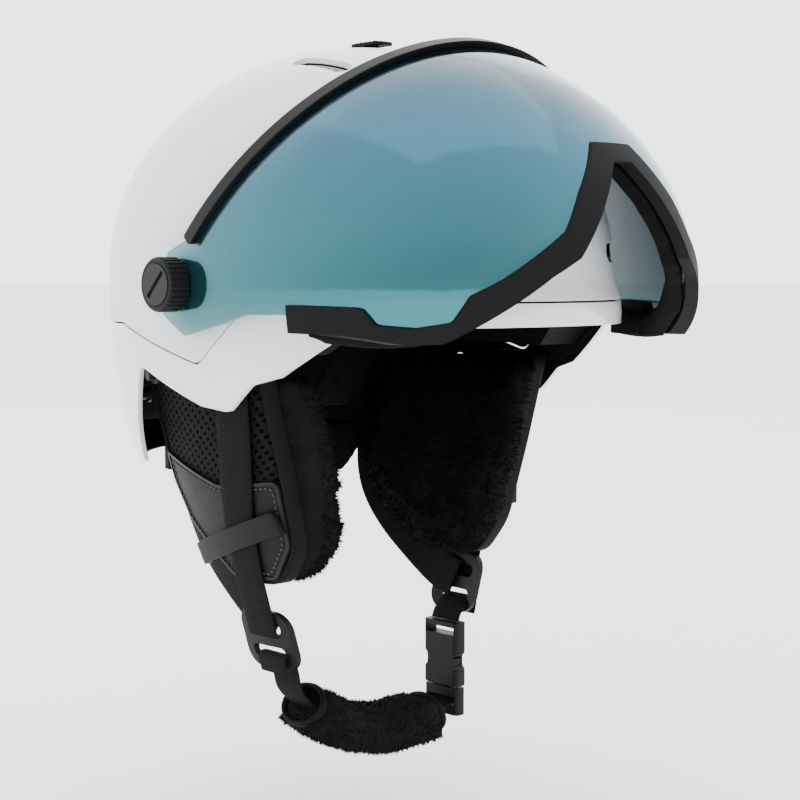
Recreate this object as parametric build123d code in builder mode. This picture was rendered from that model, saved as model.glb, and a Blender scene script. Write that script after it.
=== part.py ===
"""Ski helmet with its visor raised.  Millimetres, +Z up, the front of the helmet towards -Y
and +X on the wearer's left.  The origin is the middle of the head ring, at brow level."""
import os
from math import cos, pi, radians, sin, sqrt, tan

from build123d import *

os.makedirs("parts", exist_ok=True)

SIDES = (("right", -1), ("left", 1))

# ------------------------------------------------------------------ driving sizes
# outer shell
shell_half_width = 113.0
shell_front = 142.0
shell_back = 144.0
crown_rise = 111.0          # the crown above the widest level
widest_level = 20.0
skirt_depth = 150.0         # where the taper would close, below the widest level
skirt_power = 2.8
skirt_end = -95.0
brim_depth = 6.0            # how far the brow brim stands forward
shell_wall = 2.4
seam_gap = 0.8              # between the upper and the lower shell
brow_rim = -3.3
seam_front = 6.8
ear_lobe_rim = -44.0
ear_rim = -25.0
nape_rim = -76.0
nape_front = 53.0
# shock liner and comfort liner
shell_eps_gap = 0.4
eps_side = 26.0             # from the shell's outer face to the shock liner's inner face
eps_front = 33.0
eps_back = 35.0
eps_crown = 22.0
eps_brow_rim = 0.5
eps_ear_rim = -18.0
eps_nape_rim = -58.0
comfort_gap = 0.5
comfort_thick = 6.5
comfort_rim = 19.0
roll_front = 61.0
roll_low = -94.0
roll_height = 32.0
# vents
front_vent_width = 34.0
front_vent_height = 9.5
front_vent_x = 58.0
front_vent_z = 29.0
crown_vent_length = 26.0
crown_vent_width = 8.0
crown_vent_x = 17.0
roof_vent_length = 38.0
roof_vent_width = 9.0
roof_vent_x = 47.0
roof_vent_ys = (-30.0, 42.0)
rear_vent_width = 30.0
rear_vent_height = 8.0
rear_vent_x = 30.0
rear_vent_z = 42.0
grille_thick = 1.4
grille_bar = 1.6
vent_fit = 0.3
# crown vent shutter
shutter_length = 52.0
shutter_width = 52.0
shutter_thick = 2.0
shutter_top = 121.8
vent_travel = 12.0
vent_knob_y = -13.0
vent_knob_length = 22.0
vent_knob_width = 12.0
vent_knob_height = 1.5
vent_stem_length = 6.0
vent_stem_width = 4.0
slide_clearance = 0.4
# visor
visor_half_width = 120.0
visor_reach = 160.0         # semi-axis, front to back
visor_rise = 121.0          # semi-axis, up
visor_centre_y = -30.0
visor_centre_z = 12.0
visor_temple_y = -84.0      # where the face frame's temple ends stand
lens_wall = 2.0
frame_proud = 1.6
frame_inner = 4.6
frame_groove = 4.0          # how deep the frame takes the lens
foam_thick = 10.0
foam_drop = 3.0
foam_height = 13.0
trim_edge_y = -20.7         # lower rear end of the visor's top edge
trim_edge_z = 35.0
trim_slope = 53.2           # degrees, the top edge in side view
trim_inside = 5.8
trim_outside = 1.2
trim_proud = 3.2
trim_lip = 0.9
pivot_y = -12.0
pivot_z = 14.0
# visor pivots
boss_d = 26.0
boss_face = 115.5           # outer face of the pivot base, from the symmetry plane
hub_d = 13.0
hub_face = 120.1
hub_clearance = 0.08
pin_d = 5.0
pin_clearance = 0.06
knob_d = 25.0
knob_height = 10.0
knob_flutes = 30
knob_flute_d = 1.7
cap_d = 19.0
cap_thick = 2.2
cap_seat = 1.9
coin_slot_width = 2.2
coin_slot_depth = 1.2
nut_flange_d = 17.0
nut_flange_thick = 1.6
nut_flange_face = 109.0
nut_sleeve_d = 8.0
nut_clearance = 0.1
face_gap = 0.4
# harness
webbing_width = 20.0
webbing_thick = 1.6
ear_top = -22.0
ear_top_half = 104.0        # half width over the ear flaps' outer faces at ear_top
ear_top_reach = 128.0
ear_lean = 0.29             # how much they close in per millimetre down
ear_form_end = -190.0
pad_thick = 8.0
patch_thick = 0.8
lining_thick = 18.5
layer_gap = 0.4
keeper_width = 11.0
keeper_thick = 1.2
rivet_d = 8.0
snap_d = 9.0
stud_gap = 0.9              # stands a flat stud clear of the curved layer under it
divider_width = 34.0
divider_height = 30.0
divider_thick = 3.4
divider_slot = 6.5
divider_y = -8.0
divider_z = {"right": -159.0, "left": -147.0}
# chin loop and its side-release buckle
chin_y = -11.0
buckle_x = 54.0
buckle_top = -166.0
buckle_length = 34.0
buckle_width = 24.5
buckle_thick = 8.5
buckle_wall = 1.5
buckle_bar = 2.6
buckle_fit = 0.3
buckle_window = 9.0
prong_width = 2.6
prong_head = 4.6
prong_length = 17.0
pad_tube = 22.0
pad_depth = 30.0
# rear fit adjuster
fit_z = -76.0
fit_y = 104.2
fit_half = 30.0
fit_height = 28.0
fit_depth = 7.8
fit_wall = 1.5
dial_d = 34.0
dial_thick = 9.0
dial_flutes = 24
shaft_d = 6.0
shaft_clearance = 0.06
gear_module = 1.0
gear_teeth = 10
gear_width = 3.6
tooth_half = 0.58           # half of a tooth at the pitch line
tooth_rise = 0.75
tooth_root = 1.05
arm_reach = 39.0
paddle_x = 36.5
paddle_rise = 3.0
paddle_width = 9.0
paddle_height = 17.0


# ------------------------------------------------------------------ shared forms
def head_form(side, front, back, crown):
    """Closed egg of the helmet, moved in by the four insets: a tapered skirt, an egg above."""
    levels = []
    for z in (skirt_end, -76, -58, -40, -26, -12, 2, 8, 14, widest_level):
        share = (1 - ((widest_level - z) / skirt_depth) ** skirt_power) ** (1 / skirt_power)
        brim = 0.0
        if z >= 2:
            brim = brim_depth * sin(pi * (widest_level - z) / 36) ** 2
        elif z > -40:
            brim = brim_depth * cos(pi * (2 - z) / 84) ** 2
        levels.append((z, shell_half_width * share - side,
                       shell_front * share + brim - front, shell_back * share - back))
    for rise in (12, 24, 36, 47, 57, 66, 74, 81, 87):
        share = cos(radians(rise))
        z = widest_level + (crown_rise - crown) * sin(radians(rise))
        levels.append((z, (shell_half_width - side) * share,
                       (shell_front - front) * share, (shell_back - back) * share))
    with BuildPart() as form:
        for z, half, ahead, behind in levels:
            with BuildSketch(Plane.XY.offset(z)):
                with BuildLine():
                    EllipticalCenterArc((0, 0), half, behind, start_angle=0, arc_size=180)
                    EllipticalCenterArc((0, 0), half, ahead, start_angle=180, arc_size=180)
                make_face()
        loft()
    return form.part


def even_form(inset):
    """The helmet's egg moved in by the same amount all round."""
    return head_form(inset, inset, inset, inset)


def visor_form(inset):
    """Closed ellipsoid of the visor's curved face, moved in by inset."""
    with BuildPart() as form:
        Sphere(1, rotation=(0, 0, 90))
        scale(by=(visor_half_width - inset, visor_reach - inset, visor_rise - inset))
    return form.part.moved(Location((0, visor_centre_y, visor_centre_z)))


def ear_form(inset):
    """Closed leaning cone that the ear flaps and straps follow, moved in by inset."""
    with BuildPart() as form:
        for z in (ear_top + 10, ear_form_end):
            lean = ear_lean * (ear_top - z)
            with BuildSketch(Plane.XY.offset(z)):
                Ellipse(ear_top_half - lean - inset, ear_top_reach - lean - inset)
        loft(ruled=True)
    return form.part


def layer(form, outer, inner):
    """The skin of a form between two insets."""
    outside = form(outer)
    inside = form(inner)
    with BuildPart() as skin:
        add(outside)
        add(inside, mode=Mode.SUBTRACT)
    return skin.part


def side_block(points, radius, sign=0):
    """Prism along X over a rounded side-view outline, on one side or through both."""
    with BuildPart() as block:
        with BuildSketch(Plane.YZ):
            with BuildLine():
                FilletPolyline(*points, radius=radius, close=True)
            make_face()
        if sign:
            extrude(amount=200 * sign)
        else:
            extrude(amount=200, both=True)
    return block.part


def side_band(points, width, radius, sign):
    """Prism along X over a band on a side-view line, straight where the radius is 0."""
    with BuildPart() as block:
        with BuildSketch(Plane.YZ):
            with BuildLine():
                if radius:
                    FilletPolyline(*points, radius=radius)
                else:
                    Line(*points)
            trace(line_width=width)
        extrude(amount=200 * sign)
    return block.part


def front_block(points, radius, start):
    """Prism towards the front over a rounded front-view outline, from y = start."""
    with BuildPart() as block:
        with BuildSketch(Plane.XZ.offset(-start)):
            with BuildLine():
                FilletPolyline(*points, radius=radius, close=True)
            make_face()
        extrude(amount=160)
    return block.part


def common(first, second):
    """What two closed bodies share."""
    with BuildPart() as shared:
        add(first)
        add(second, mode=Mode.INTERSECT)
    return shared.part


def pivot_plane(x, sign):
    """Plane across a visor pivot's axis at a distance from the symmetry plane, facing out."""
    return Plane(origin=(sign * x, pivot_y, pivot_z), x_dir=(0, 1, 0), z_dir=(sign, 0, 0))


# ------------------------------------------------------------------ outer shell
shell_skin = layer(even_form, 0, shell_wall)
above_seam = ((-210, seam_front), (-50, seam_front), (-17, seam_front - 29.3),
              (nape_front, -5), (210, -5), (210, 210), (-210, 210))
below_seam = tuple((y, z - seam_gap * (1 if z < 200 else 0)) for y, z in above_seam)
above_rim = ((-210, brow_rim), (-95, brow_rim - 2), (-62, brow_rim - 24), (-47, brow_rim - 28),
             (-33, ear_lobe_rim), (-16, ear_lobe_rim + 2), (33, ear_rim),
             (nape_front, nape_rim + 10), (nape_front + 6, nape_rim), (210, nape_rim),
             (210, 210), (-210, 210))

front_vent_cuts = []
for _, sign in SIDES:
    with BuildPart() as front_vent_cut:
        with BuildSketch(Plane.XZ.offset(70)):
            with Locations((sign * front_vent_x, front_vent_z)):
                SlotOverall(front_vent_width, front_vent_height)
        extrude(amount=100)
    front_vent_cuts.append(front_vent_cut.part)
rear_vent_cuts = []
for _, sign in SIDES:
    with BuildPart() as rear_vent_cut:
        with BuildSketch(Plane.XZ.offset(-70)):
            with Locations((sign * rear_vent_x, rear_vent_z)):
                SlotOverall(rear_vent_width, rear_vent_height)
        extrude(amount=-100)
    rear_vent_cuts.append(rear_vent_cut.part)
with BuildPart() as roof_vent_cuts:
    with BuildSketch(Plane.XY.offset(60)):
        with Locations(*[(x, y) for x in (-roof_vent_x, roof_vent_x) for y in roof_vent_ys]):
            SlotOverall(roof_vent_length, roof_vent_width, rotation=90)
    extrude(amount=90)
with BuildPart() as crown_vent_cuts:
    with BuildSketch(Plane.XY.offset(60)):
        with Locations((-crown_vent_x, 0), (crown_vent_x, 0)):
            SlotOverall(crown_vent_length, crown_vent_width, rotation=90)
    extrude(amount=90)

upper_side = side_block(above_seam, 7)
with BuildPart() as upper_shell:
    add(shell_skin)
    add(upper_side, mode=Mode.INTERSECT)
    for cut in front_vent_cuts + rear_vent_cuts:
        add(cut, mode=Mode.SUBTRACT)
    add(roof_vent_cuts.part, mode=Mode.SUBTRACT)
    add(crown_vent_cuts.part, mode=Mode.SUBTRACT)
    # slot that the vent slider's stem runs in
    with BuildSketch(Plane.XY.offset(110)):
        with Locations((0, vent_knob_y + vent_travel / 2)):
            Rectangle(vent_stem_width + 2 * slide_clearance,
                      vent_stem_length + vent_travel + 2 * slide_clearance)
    extrude(amount=30, mode=Mode.SUBTRACT)
    for _, sign in SIDES:
        with BuildSketch(pivot_plane(90, sign)):
            Circle(nut_sleeve_d / 2 + nut_clearance)
        extrude(amount=40, mode=Mode.SUBTRACT)
upper_shell.part.label = "upper_shell"
export_step(upper_shell.part, "parts/upper_shell.step")

rim_side = side_block(above_rim, 5)
seam_side = side_block(below_seam, 7)
with BuildPart() as lower_shell:
    add(shell_skin)
    add(rim_side, mode=Mode.INTERSECT)
    add(seam_side, mode=Mode.SUBTRACT)
lower_shell.part.label = "lower_shell"
export_step(lower_shell.part, "parts/lower_shell.step")

# ------------------------------------------------------------------ shock liner
eps_outer = shell_wall + shell_eps_gap
eps_body = even_form(eps_outer)
eps_hollow = head_form(eps_side, eps_front, eps_back, eps_crown)
eps_side_view = side_block(((-210, eps_brow_rim), (-86, eps_brow_rim), (-62, eps_ear_rim),
                            (76, eps_ear_rim), (90, eps_nape_rim), (210, eps_nape_rim),
                            (210, 210), (-210, 210)), 8)
vent_floor = even_form(eps_outer + grille_thick + 8)
with BuildPart() as eps_liner:
    add(eps_body)
    add(eps_hollow, mode=Mode.SUBTRACT)
    add(eps_side_view, mode=Mode.INTERSECT)
    add(roof_vent_cuts.part, mode=Mode.SUBTRACT)
    for cut in front_vent_cuts + rear_vent_cuts:
        pocket = cut - vent_floor
        add(pocket, mode=Mode.SUBTRACT)
    # flat pocket that the crown shutter slides in, with its air ports
    with BuildSketch(Plane.XY.offset(shutter_top - shutter_thick - slide_clearance)):
        with Locations((0, vent_travel / 2)):
            Rectangle(shutter_width + 2 * slide_clearance,
                      shutter_length + vent_travel + 2 * slide_clearance)
    extrude(amount=20, mode=Mode.SUBTRACT)
    add(crown_vent_cuts.part, mode=Mode.SUBTRACT)
    for _, sign in SIDES:
        with BuildSketch(pivot_plane(nut_flange_face - nut_flange_thick - 1.5, sign)):
            Circle(nut_flange_d / 2 + 0.8)
        extrude(amount=20, mode=Mode.SUBTRACT)
eps_liner.part.label = "eps_liner"
export_step(eps_liner.part, "parts/eps_liner.step")

# ------------------------------------------------------------------ comfort liner
comfort_out = head_form(eps_side + comfort_gap, eps_front + comfort_gap,
                        eps_back + comfort_gap, eps_crown + comfort_gap)
comfort_in = head_form(eps_side + comfort_gap + comfort_thick,
                       eps_front + comfort_gap + comfort_thick,
                       eps_back + comfort_gap + comfort_thick,
                       eps_crown + comfort_gap + comfort_thick)
with BuildPart() as comfort_skin:
    add(comfort_out)
    add(comfort_in, mode=Mode.SUBTRACT)
with BuildPart() as comfort_liner:
    add(comfort_skin.part)
    with Locations((0, 0, comfort_rim)):
        Box(300, 400, 200, align=(Align.CENTER, Align.CENTER, Align.MIN), mode=Mode.INTERSECT)
comfort_liner.part.label = "comfort_liner"
export_step(comfort_liner.part, "parts/comfort_liner.step")

with BuildPart() as brow_pad:
    add(comfort_skin.part)
    with Locations((0, -30, brow_rim + 2)):
        Box(300, 200, comfort_rim - brow_rim - 2 - comfort_gap,
            align=(Align.CENTER, Align.MAX, Align.MIN), mode=Mode.INTERSECT)
brow_pad.part.label = "brow_pad"
export_step(brow_pad.part, "parts/brow_pad.step")

roll_out = head_form(15, 30, 31, 30)
roll_in = head_form(33, 50, 48, 50)
with BuildPart() as neck_roll:
    add(roll_out)
    add(roll_in, mode=Mode.SUBTRACT)
    with Locations((0, roll_front, roll_low)):
        Box(300, 120, roll_height, align=(Align.CENTER, Align.MIN, Align.MIN), mode=Mode.INTERSECT)
neck_roll.part.label = "neck_roll"
export_step(neck_roll.part, "parts/neck_roll.step")

# ------------------------------------------------------------------ vents
grille_skin = layer(even_form, eps_outer + vent_fit, eps_outer + vent_fit + grille_thick)


def grille_cells(width, height):
    """Row of slots that leaves a grille's bars standing, drawn about the local origin."""
    count = int(width // (2.6 * grille_bar))
    with GridLocations(width / count, 0, count, 1):
        Rectangle(width / count - grille_bar, height - 2 * grille_bar)


with BuildPart() as front_vent_grilles:
    for _, sign in SIDES:
        with BuildSketch(Plane.XZ.offset(70)):
            with Locations((sign * front_vent_x, front_vent_z)):
                SlotOverall(front_vent_width - 2 * vent_fit, front_vent_height - 2 * vent_fit)
        extrude(amount=100)
    add(grille_skin, mode=Mode.INTERSECT)
    for _, sign in SIDES:
        with BuildSketch(Plane.XZ.offset(70)):
            with Locations((sign * front_vent_x, front_vent_z)):
                grille_cells(front_vent_width - 8, front_vent_height)
        extrude(amount=100, mode=Mode.SUBTRACT)
front_vent_grilles.part.label = "front_vent_grilles"
export_step(front_vent_grilles.part, "parts/front_vent_grilles.step")

with BuildPart() as rear_vent_grilles:
    for _, sign in SIDES:
        with BuildSketch(Plane.XZ.offset(-70)):
            with Locations((sign * rear_vent_x, rear_vent_z)):
                SlotOverall(rear_vent_width - 2 * vent_fit, rear_vent_height - 2 * vent_fit)
        extrude(amount=-100)
    add(grille_skin, mode=Mode.INTERSECT)
    for _, sign in SIDES:
        with BuildSketch(Plane.XZ.offset(-70)):
            with Locations((sign * rear_vent_x, rear_vent_z)):
                grille_cells(rear_vent_width - 7, rear_vent_height)
        extrude(amount=-100, mode=Mode.SUBTRACT)
rear_vent_grilles.part.label = "rear_vent_grilles"
export_step(rear_vent_grilles.part, "parts/rear_vent_grilles.step")

with BuildPart() as roof_vent_grilles:
    with BuildSketch(Plane.XY.offset(60)):
        with Locations(*[(x, y) for x in (-roof_vent_x, roof_vent_x) for y in roof_vent_ys]):
            SlotOverall(roof_vent_length - 2 * vent_fit, roof_vent_width - 2 * vent_fit,
                        rotation=90)
    extrude(amount=90)
    add(grille_skin, mode=Mode.INTERSECT)
    with BuildSketch(Plane.XY.offset(60)):
        for x in (-roof_vent_x, roof_vent_x):
            for y in roof_vent_ys:
                with Locations((x, y)):
                    with GridLocations(0, 5.2, 1, 6):
                        Rectangle(roof_vent_width - 2 * grille_bar, 5.2 - grille_bar)
    extrude(amount=90, mode=Mode.SUBTRACT)
roof_vent_grilles.part.label = "roof_vent_grilles"
export_step(roof_vent_grilles.part, "parts/roof_vent_grilles.step")

shutter_bottom = shutter_top - shutter_thick
with BuildPart() as vent_shutter:
    with BuildSketch(Plane.XY.offset(shutter_bottom)):
        RectangleRounded(shutter_width, shutter_length, 5)
        # the ports that stand beside the vents when closed and under them when open
        with Locations((-crown_vent_x, -vent_travel), (crown_vent_x, -vent_travel)):
            SlotOverall(crown_vent_length - 4, crown_vent_width, rotation=90, mode=Mode.SUBTRACT)
    extrude(amount=shutter_thick)
    # the stem that the knob clips onto
    with BuildSketch(Plane.XY.offset(shutter_top)):
        with Locations((0, vent_knob_y)):
            Rectangle(vent_stem_width, vent_stem_length)
    extrude(amount=widest_level + crown_rise + face_gap - shutter_top)
vent_shutter.part.label = "vent_shutter"
export_step(vent_shutter.part, "parts/vent_shutter.step")

with BuildPart() as vent_knob:
    with BuildSketch(Plane.XY.offset(widest_level + crown_rise + face_gap)):
        with Locations((0, vent_knob_y)):
            RectangleRounded(vent_knob_width, vent_knob_length, 4)
    extrude(amount=vent_knob_height)
    # finger ridges
    with BuildSketch(Plane.XY.offset(widest_level + crown_rise + face_gap + vent_knob_height)):
        with Locations((0, vent_knob_y)):
            with GridLocations(0, 3.2, 1, 5):
                Rectangle(vent_knob_width - 3, 1.2)
    extrude(amount=0.5)
vent_knob.part.label = "vent_knob"
export_step(vent_knob.part, "parts/vent_knob.step")

# ------------------------------------------------------------------ visor
trim_along = Vector(-cos(radians(trim_slope)), sin(radians(trim_slope)))
trim_in = Vector(-trim_along.Y, trim_along.X)


def on_top_edge(along, inside):
    """Side-view point beside the visor's top edge."""
    point = Vector(trim_edge_y, trim_edge_z) + trim_along * along + trim_in * inside
    return (point.X, point.Y)


def frame_line(points, drop):
    """A lower-edge line of the visor in front view, from the wearer's right to the left."""
    right = [(x, z - drop) for x, z in points]
    left = [(-x, z) for x, z in reversed(right)]
    return right + left


frame_top_line = ((-140, 7.5), (-101.5, 4.8), (-98, -2.6), (-89, -3.8), (-79, -1), (-74.5, 10),
                  (-65, 16.5), (-40.5, 36.5), (-30.5, 52.5), (-12, 75.5))
frame_low_line = ((-140, -4.5), (-104, -7), (-90, -10.8), (-81, -10.2), (-48, 17.8),
                  (-36.5, 25.5), (-17.5, 52), (-6, 67))
below_lens = front_block(frame_line(frame_top_line, frame_groove) + [(140, -60), (-140, -60)],
                         2.4, visor_temple_y)
lens_side = side_block((on_top_edge(0, 0), on_top_edge(150, 0), (-230, 155), (-230, -40),
                        (visor_temple_y, -40), (visor_temple_y, 1.5), (-60, 1), (-46, -3),
                        (-16, -9.4), (2, 0), (5, 14), (-3, 29)), 3)
lens_skin = layer(visor_form, 0, lens_wall)
with BuildPart() as lens_cut:
    add(lens_side)
    add(below_lens, mode=Mode.SUBTRACT)
    for _, sign in SIDES:
        with BuildSketch(pivot_plane(90, sign)):
            Circle(hub_d / 2 + hub_clearance)
        extrude(amount=60, mode=Mode.SUBTRACT)
with BuildPart() as visor_lens:
    add(lens_skin)
    add(lens_cut.part, mode=Mode.INTERSECT)
visor_lens.part.label = "visor_lens"
export_step(visor_lens.part, "parts/visor_lens.step")

trim_side = side_block((on_top_edge(0, -trim_outside), on_top_edge(150, -trim_outside),
                        on_top_edge(150, trim_inside), on_top_edge(0, trim_inside)), 1.5)
trim_skin = layer(visor_form, -trim_proud, lens_wall + trim_lip)
with BuildPart() as visor_top_trim:
    add(trim_skin)
    add(trim_side, mode=Mode.INTERSECT)
    add(visor_lens.part, mode=Mode.SUBTRACT)
visor_top_trim.part.label = "visor_top_trim"
export_step(visor_top_trim.part, "parts/visor_top_trim.step")

frame_band = front_block(frame_line(frame_top_line, 0)
                         + list(reversed(frame_line(frame_low_line, 0))), 2.4,
                         visor_temple_y - face_gap)
frame_skin = layer(visor_form, -frame_proud, frame_inner)
with BuildPart() as visor_frame:
    add(frame_skin)
    add(frame_band, mode=Mode.INTERSECT)
    add(visor_lens.part, mode=Mode.SUBTRACT)
visor_frame.part.label = "visor_frame"
export_step(visor_frame.part, "parts/visor_frame.step")

foam_band = front_block(frame_line(frame_low_line, foam_drop - foam_height)
                        + list(reversed(frame_line(frame_low_line, foam_drop))), 2.4,
                        visor_temple_y - 3)
foam_skin = layer(visor_form, frame_inner + 0.1, frame_inner + 0.1 + foam_thick)
with BuildPart() as visor_foam:
    add(foam_skin)
    add(foam_band, mode=Mode.INTERSECT)
visor_foam.part.label = "visor_foam"
export_step(visor_foam.part, "parts/visor_foam.step")

# ------------------------------------------------------------------ visor pivots, both sides
knob_inner = hub_face + face_gap
knob_outer = knob_inner + knob_height
shell_body = even_form(-0.05)
for side, sign in SIDES:
    with BuildPart() as pivot_base:
        with BuildSketch(pivot_plane(100, sign)):
            Circle(boss_d / 2)
        extrude(amount=boss_face - 100)
        with BuildSketch(pivot_plane(boss_face, sign)):
            Circle(hub_d / 2)
        extrude(amount=hub_face - boss_face)
        add(shell_body, mode=Mode.SUBTRACT)
        with BuildSketch(pivot_plane(90, sign)):
            Circle(pin_d / 2 + pin_clearance)
        extrude(amount=60, mode=Mode.SUBTRACT)
    pivot_base.part.label = f"pivot_base_{side}"
    export_step(pivot_base.part, f"parts/pivot_base_{side}.step")

    with BuildPart() as pivot_nut:
        with BuildSketch(pivot_plane(nut_flange_face - nut_flange_thick, sign)):
            Circle(nut_flange_d / 2)
        extrude(amount=nut_flange_thick)
        with BuildSketch(pivot_plane(nut_flange_face, sign)):
            Circle(nut_sleeve_d / 2)
        extrude(amount=112.0 - nut_flange_face)
        with BuildSketch(pivot_plane(90, sign)):
            Circle(pin_d / 2 + pin_clearance)
        extrude(amount=60, mode=Mode.SUBTRACT)
    pivot_nut.part.label = f"pivot_nut_{side}"
    export_step(pivot_nut.part, f"parts/pivot_nut_{side}.step")

    with BuildPart() as knob:
        with BuildSketch(pivot_plane(knob_inner, sign)):
            Circle(knob_d / 2)
        extrude(amount=knob_height)
        chamfer(knob.edges().group_by(Axis.X)[-1 if sign > 0 else 0], 1.0)
        with BuildSketch(pivot_plane(knob_inner, sign)):
            with PolarLocations(knob_d / 2 + 0.25, knob_flutes):
                Circle(knob_flute_d / 2)
        extrude(amount=knob_height, mode=Mode.SUBTRACT)
        with BuildSketch(pivot_plane(knob_outer - cap_seat, sign)):
            Circle(cap_d / 2 + 0.2)
        extrude(amount=cap_seat, mode=Mode.SUBTRACT)
        with BuildSketch(pivot_plane(knob_inner, sign)):
            Circle(pin_d / 2 + pin_clearance)
        extrude(amount=knob_height, mode=Mode.SUBTRACT)
    knob.part.label = f"knob_{side}"
    export_step(knob.part, f"parts/knob_{side}.step")

    with BuildPart() as knob_cap:
        with BuildSketch(pivot_plane(knob_outer - cap_seat + 0.1, sign)):
            Circle(cap_d / 2)
        extrude(amount=cap_thick)
        with BuildSketch(pivot_plane(nut_flange_face - nut_flange_thick + 0.3, sign)):
            Circle(pin_d / 2)
        extrude(amount=knob_outer - cap_seat + 0.2 - nut_flange_face + nut_flange_thick)
        slot_top = knob_outer - cap_seat + 0.1 + cap_thick
        with BuildSketch(pivot_plane(slot_top - coin_slot_depth, sign)):
            Rectangle(cap_d - 3, coin_slot_width, rotation=45)
        extrude(amount=coin_slot_depth, mode=Mode.SUBTRACT)
    knob_cap.part.label = f"knob_cap_{side}"
    export_step(knob_cap.part, f"parts/knob_cap_{side}.step")

# ------------------------------------------------------------------ ear flaps and harness
pad_outline = ((-43, -24), (49, -24), (49, -84), (38, -104), (4, -130), (-26, -128),
               (-39, -110), (-42, -70))
lining_outline = ((-56, -26), (55, -26), (55, -84), (40, -110), (10, -130), (-26, -131),
                  (-46, -112), (-54, -70))
patch_outline = ((47, -70), (47, -84), (36.5, -103), (3, -128), (-25, -126), (-37, -109),
                 (-39, -78), (0, -83))
strap_in = -(patch_thick + 2 * layer_gap)
strap_out = strap_in - webbing_thick
keeper_in = strap_out - layer_gap
keeper_out = keeper_in - keeper_thick
rear_layer = 3.0
pad_skin = layer(ear_form, 0, pad_thick)
lining_skin = layer(ear_form, pad_thick + layer_gap, pad_thick + layer_gap + lining_thick)
patch_skin = layer(ear_form, -0.1 - patch_thick, -0.1)
strap_skin = layer(ear_form, strap_out, strap_in)
rear_skin = layer(ear_form, rear_layer, rear_layer + webbing_thick)
keeper_skin = layer(ear_form, keeper_out, -patch_thick - layer_gap)
keeper_tunnel = ear_form(keeper_in)
divider_skin = layer(ear_form, strap_in + layer_gap, strap_in + layer_gap + divider_thick)

for side, sign in SIDES:
    drop = divider_z[side]
    pad_side = side_block(pad_outline, 9, sign)
    with BuildPart() as ear_pad:
        add(pad_skin)
        add(pad_side, mode=Mode.INTERSECT)
    ear_pad.part.label = f"ear_pad_{side}"
    export_step(ear_pad.part, f"parts/ear_pad_{side}.step")

    lining_side = side_block(lining_outline, 9, sign)
    with BuildPart() as ear_lining:
        add(lining_skin)
        add(lining_side, mode=Mode.INTERSECT)
    ear_lining.part.label = f"ear_lining_{side}"
    export_step(ear_lining.part, f"parts/ear_lining_{side}.step")

    patch_side = side_block(patch_outline, 3, sign)
    with BuildPart() as ear_patch:
        add(patch_skin)
        add(patch_side, mode=Mode.INTERSECT)
    ear_patch.part.label = f"ear_patch_{side}"
    export_step(ear_patch.part, f"parts/ear_patch_{side}.step")

    front_line = ((-28, -26), (-21, -60), (-8, -105), (divider_y, drop + 2))
    front_side = side_band(front_line, webbing_width, 20, sign)
    with BuildPart() as front_strap:
        add(strap_skin)
        add(front_side, mode=Mode.INTERSECT)
    front_strap.part.label = f"front_strap_{side}"
    export_step(front_strap.part, f"parts/front_strap_{side}.step")

    rear_line = ((62.5, -34), (61, -84), (45, -114), (10, -140), (divider_y, drop + 2))
    rear_side = side_band(rear_line, webbing_width, 10, sign)
    with BuildPart() as rear_strap:
        add(rear_skin)
        add(rear_side, mode=Mode.INTERSECT)
    rear_strap.part.label = f"rear_strap_{side}"
    export_step(rear_strap.part, f"parts/rear_strap_{side}.step")

    keeper_line = ((29, -120), (-37, -97))
    keeper_inside = side_band(((22, -117.6), (-31, -99.1)), keeper_width + 4, 0, sign)
    keeper_side = side_band(keeper_line, keeper_width, 0, sign)
    keeper_room = common(keeper_tunnel, keeper_inside)
    with BuildPart() as keeper_loop:
        add(keeper_skin)
        add(keeper_side, mode=Mode.INTERSECT)
        add(keeper_room, mode=Mode.SUBTRACT)
    keeper_loop.part.label = f"keeper_loop_{side}"
    export_step(keeper_loop.part, f"parts/keeper_loop_{side}.step")

    with BuildPart() as divider:
        with BuildSketch(Plane.YZ):
            with Locations((divider_y, drop)):
                RectangleRounded(divider_width, divider_height, 9)
            with Locations((divider_y, drop + 6.5), (divider_y, drop - 6.5)):
                SlotOverall(webbing_width + 3, divider_slot, mode=Mode.SUBTRACT)
        extrude(amount=200 * sign)
        add(divider_skin, mode=Mode.INTERSECT)
    divider.part.label = f"divider_{side}"
    export_step(divider.part, f"parts/divider_{side}.step")


def anchors(points, diameter, start_layer, reach, shank):
    """Round studs on both sides: a disc on the strap or pad and a shank out to the shell."""
    with BuildPart() as studs:
        for _, sign in SIDES:
            for y, z in points:
                lean = ear_lean * (ear_top - z) + start_layer
                x = (ear_top_half - lean) * sqrt(1 - (y / (ear_top_reach - lean)) ** 2)
                base = Plane(origin=(sign * (x + 0.9), y, z), x_dir=(0, 1, 0), z_dir=(sign, 0, 0))
                with BuildSketch(base):
                    Circle(diameter / 2)
                extrude(amount=1.4)
                with BuildSketch(base.offset(1.4)):
                    Circle(shank / 2)
                extrude(amount=reach)
    return studs.part


shell_hollow = even_form(shell_wall + 0.1)
front_anchors = anchors(((-27.5, -31),), rivet_d, strap_out - stud_gap, 12, 4)
rear_anchors = anchors(((62, -42),), rivet_d, rear_layer - 2 * stud_gap, 30, 5)
pad_anchors = anchors(((2, -30), (32, -30)), snap_d, -stud_gap, 20, 5)
with BuildPart() as strap_rivets:
    add(front_anchors)
    add(shell_hollow, mode=Mode.INTERSECT)
strap_rivets.part.label = "strap_rivets"
export_step(strap_rivets.part, "parts/strap_rivets.step")

with BuildPart() as rear_rivets:
    add(rear_anchors)
    add(shell_hollow, mode=Mode.INTERSECT)
rear_rivets.part.label = "rear_rivets"
export_step(rear_rivets.part, "parts/rear_rivets.step")

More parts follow.
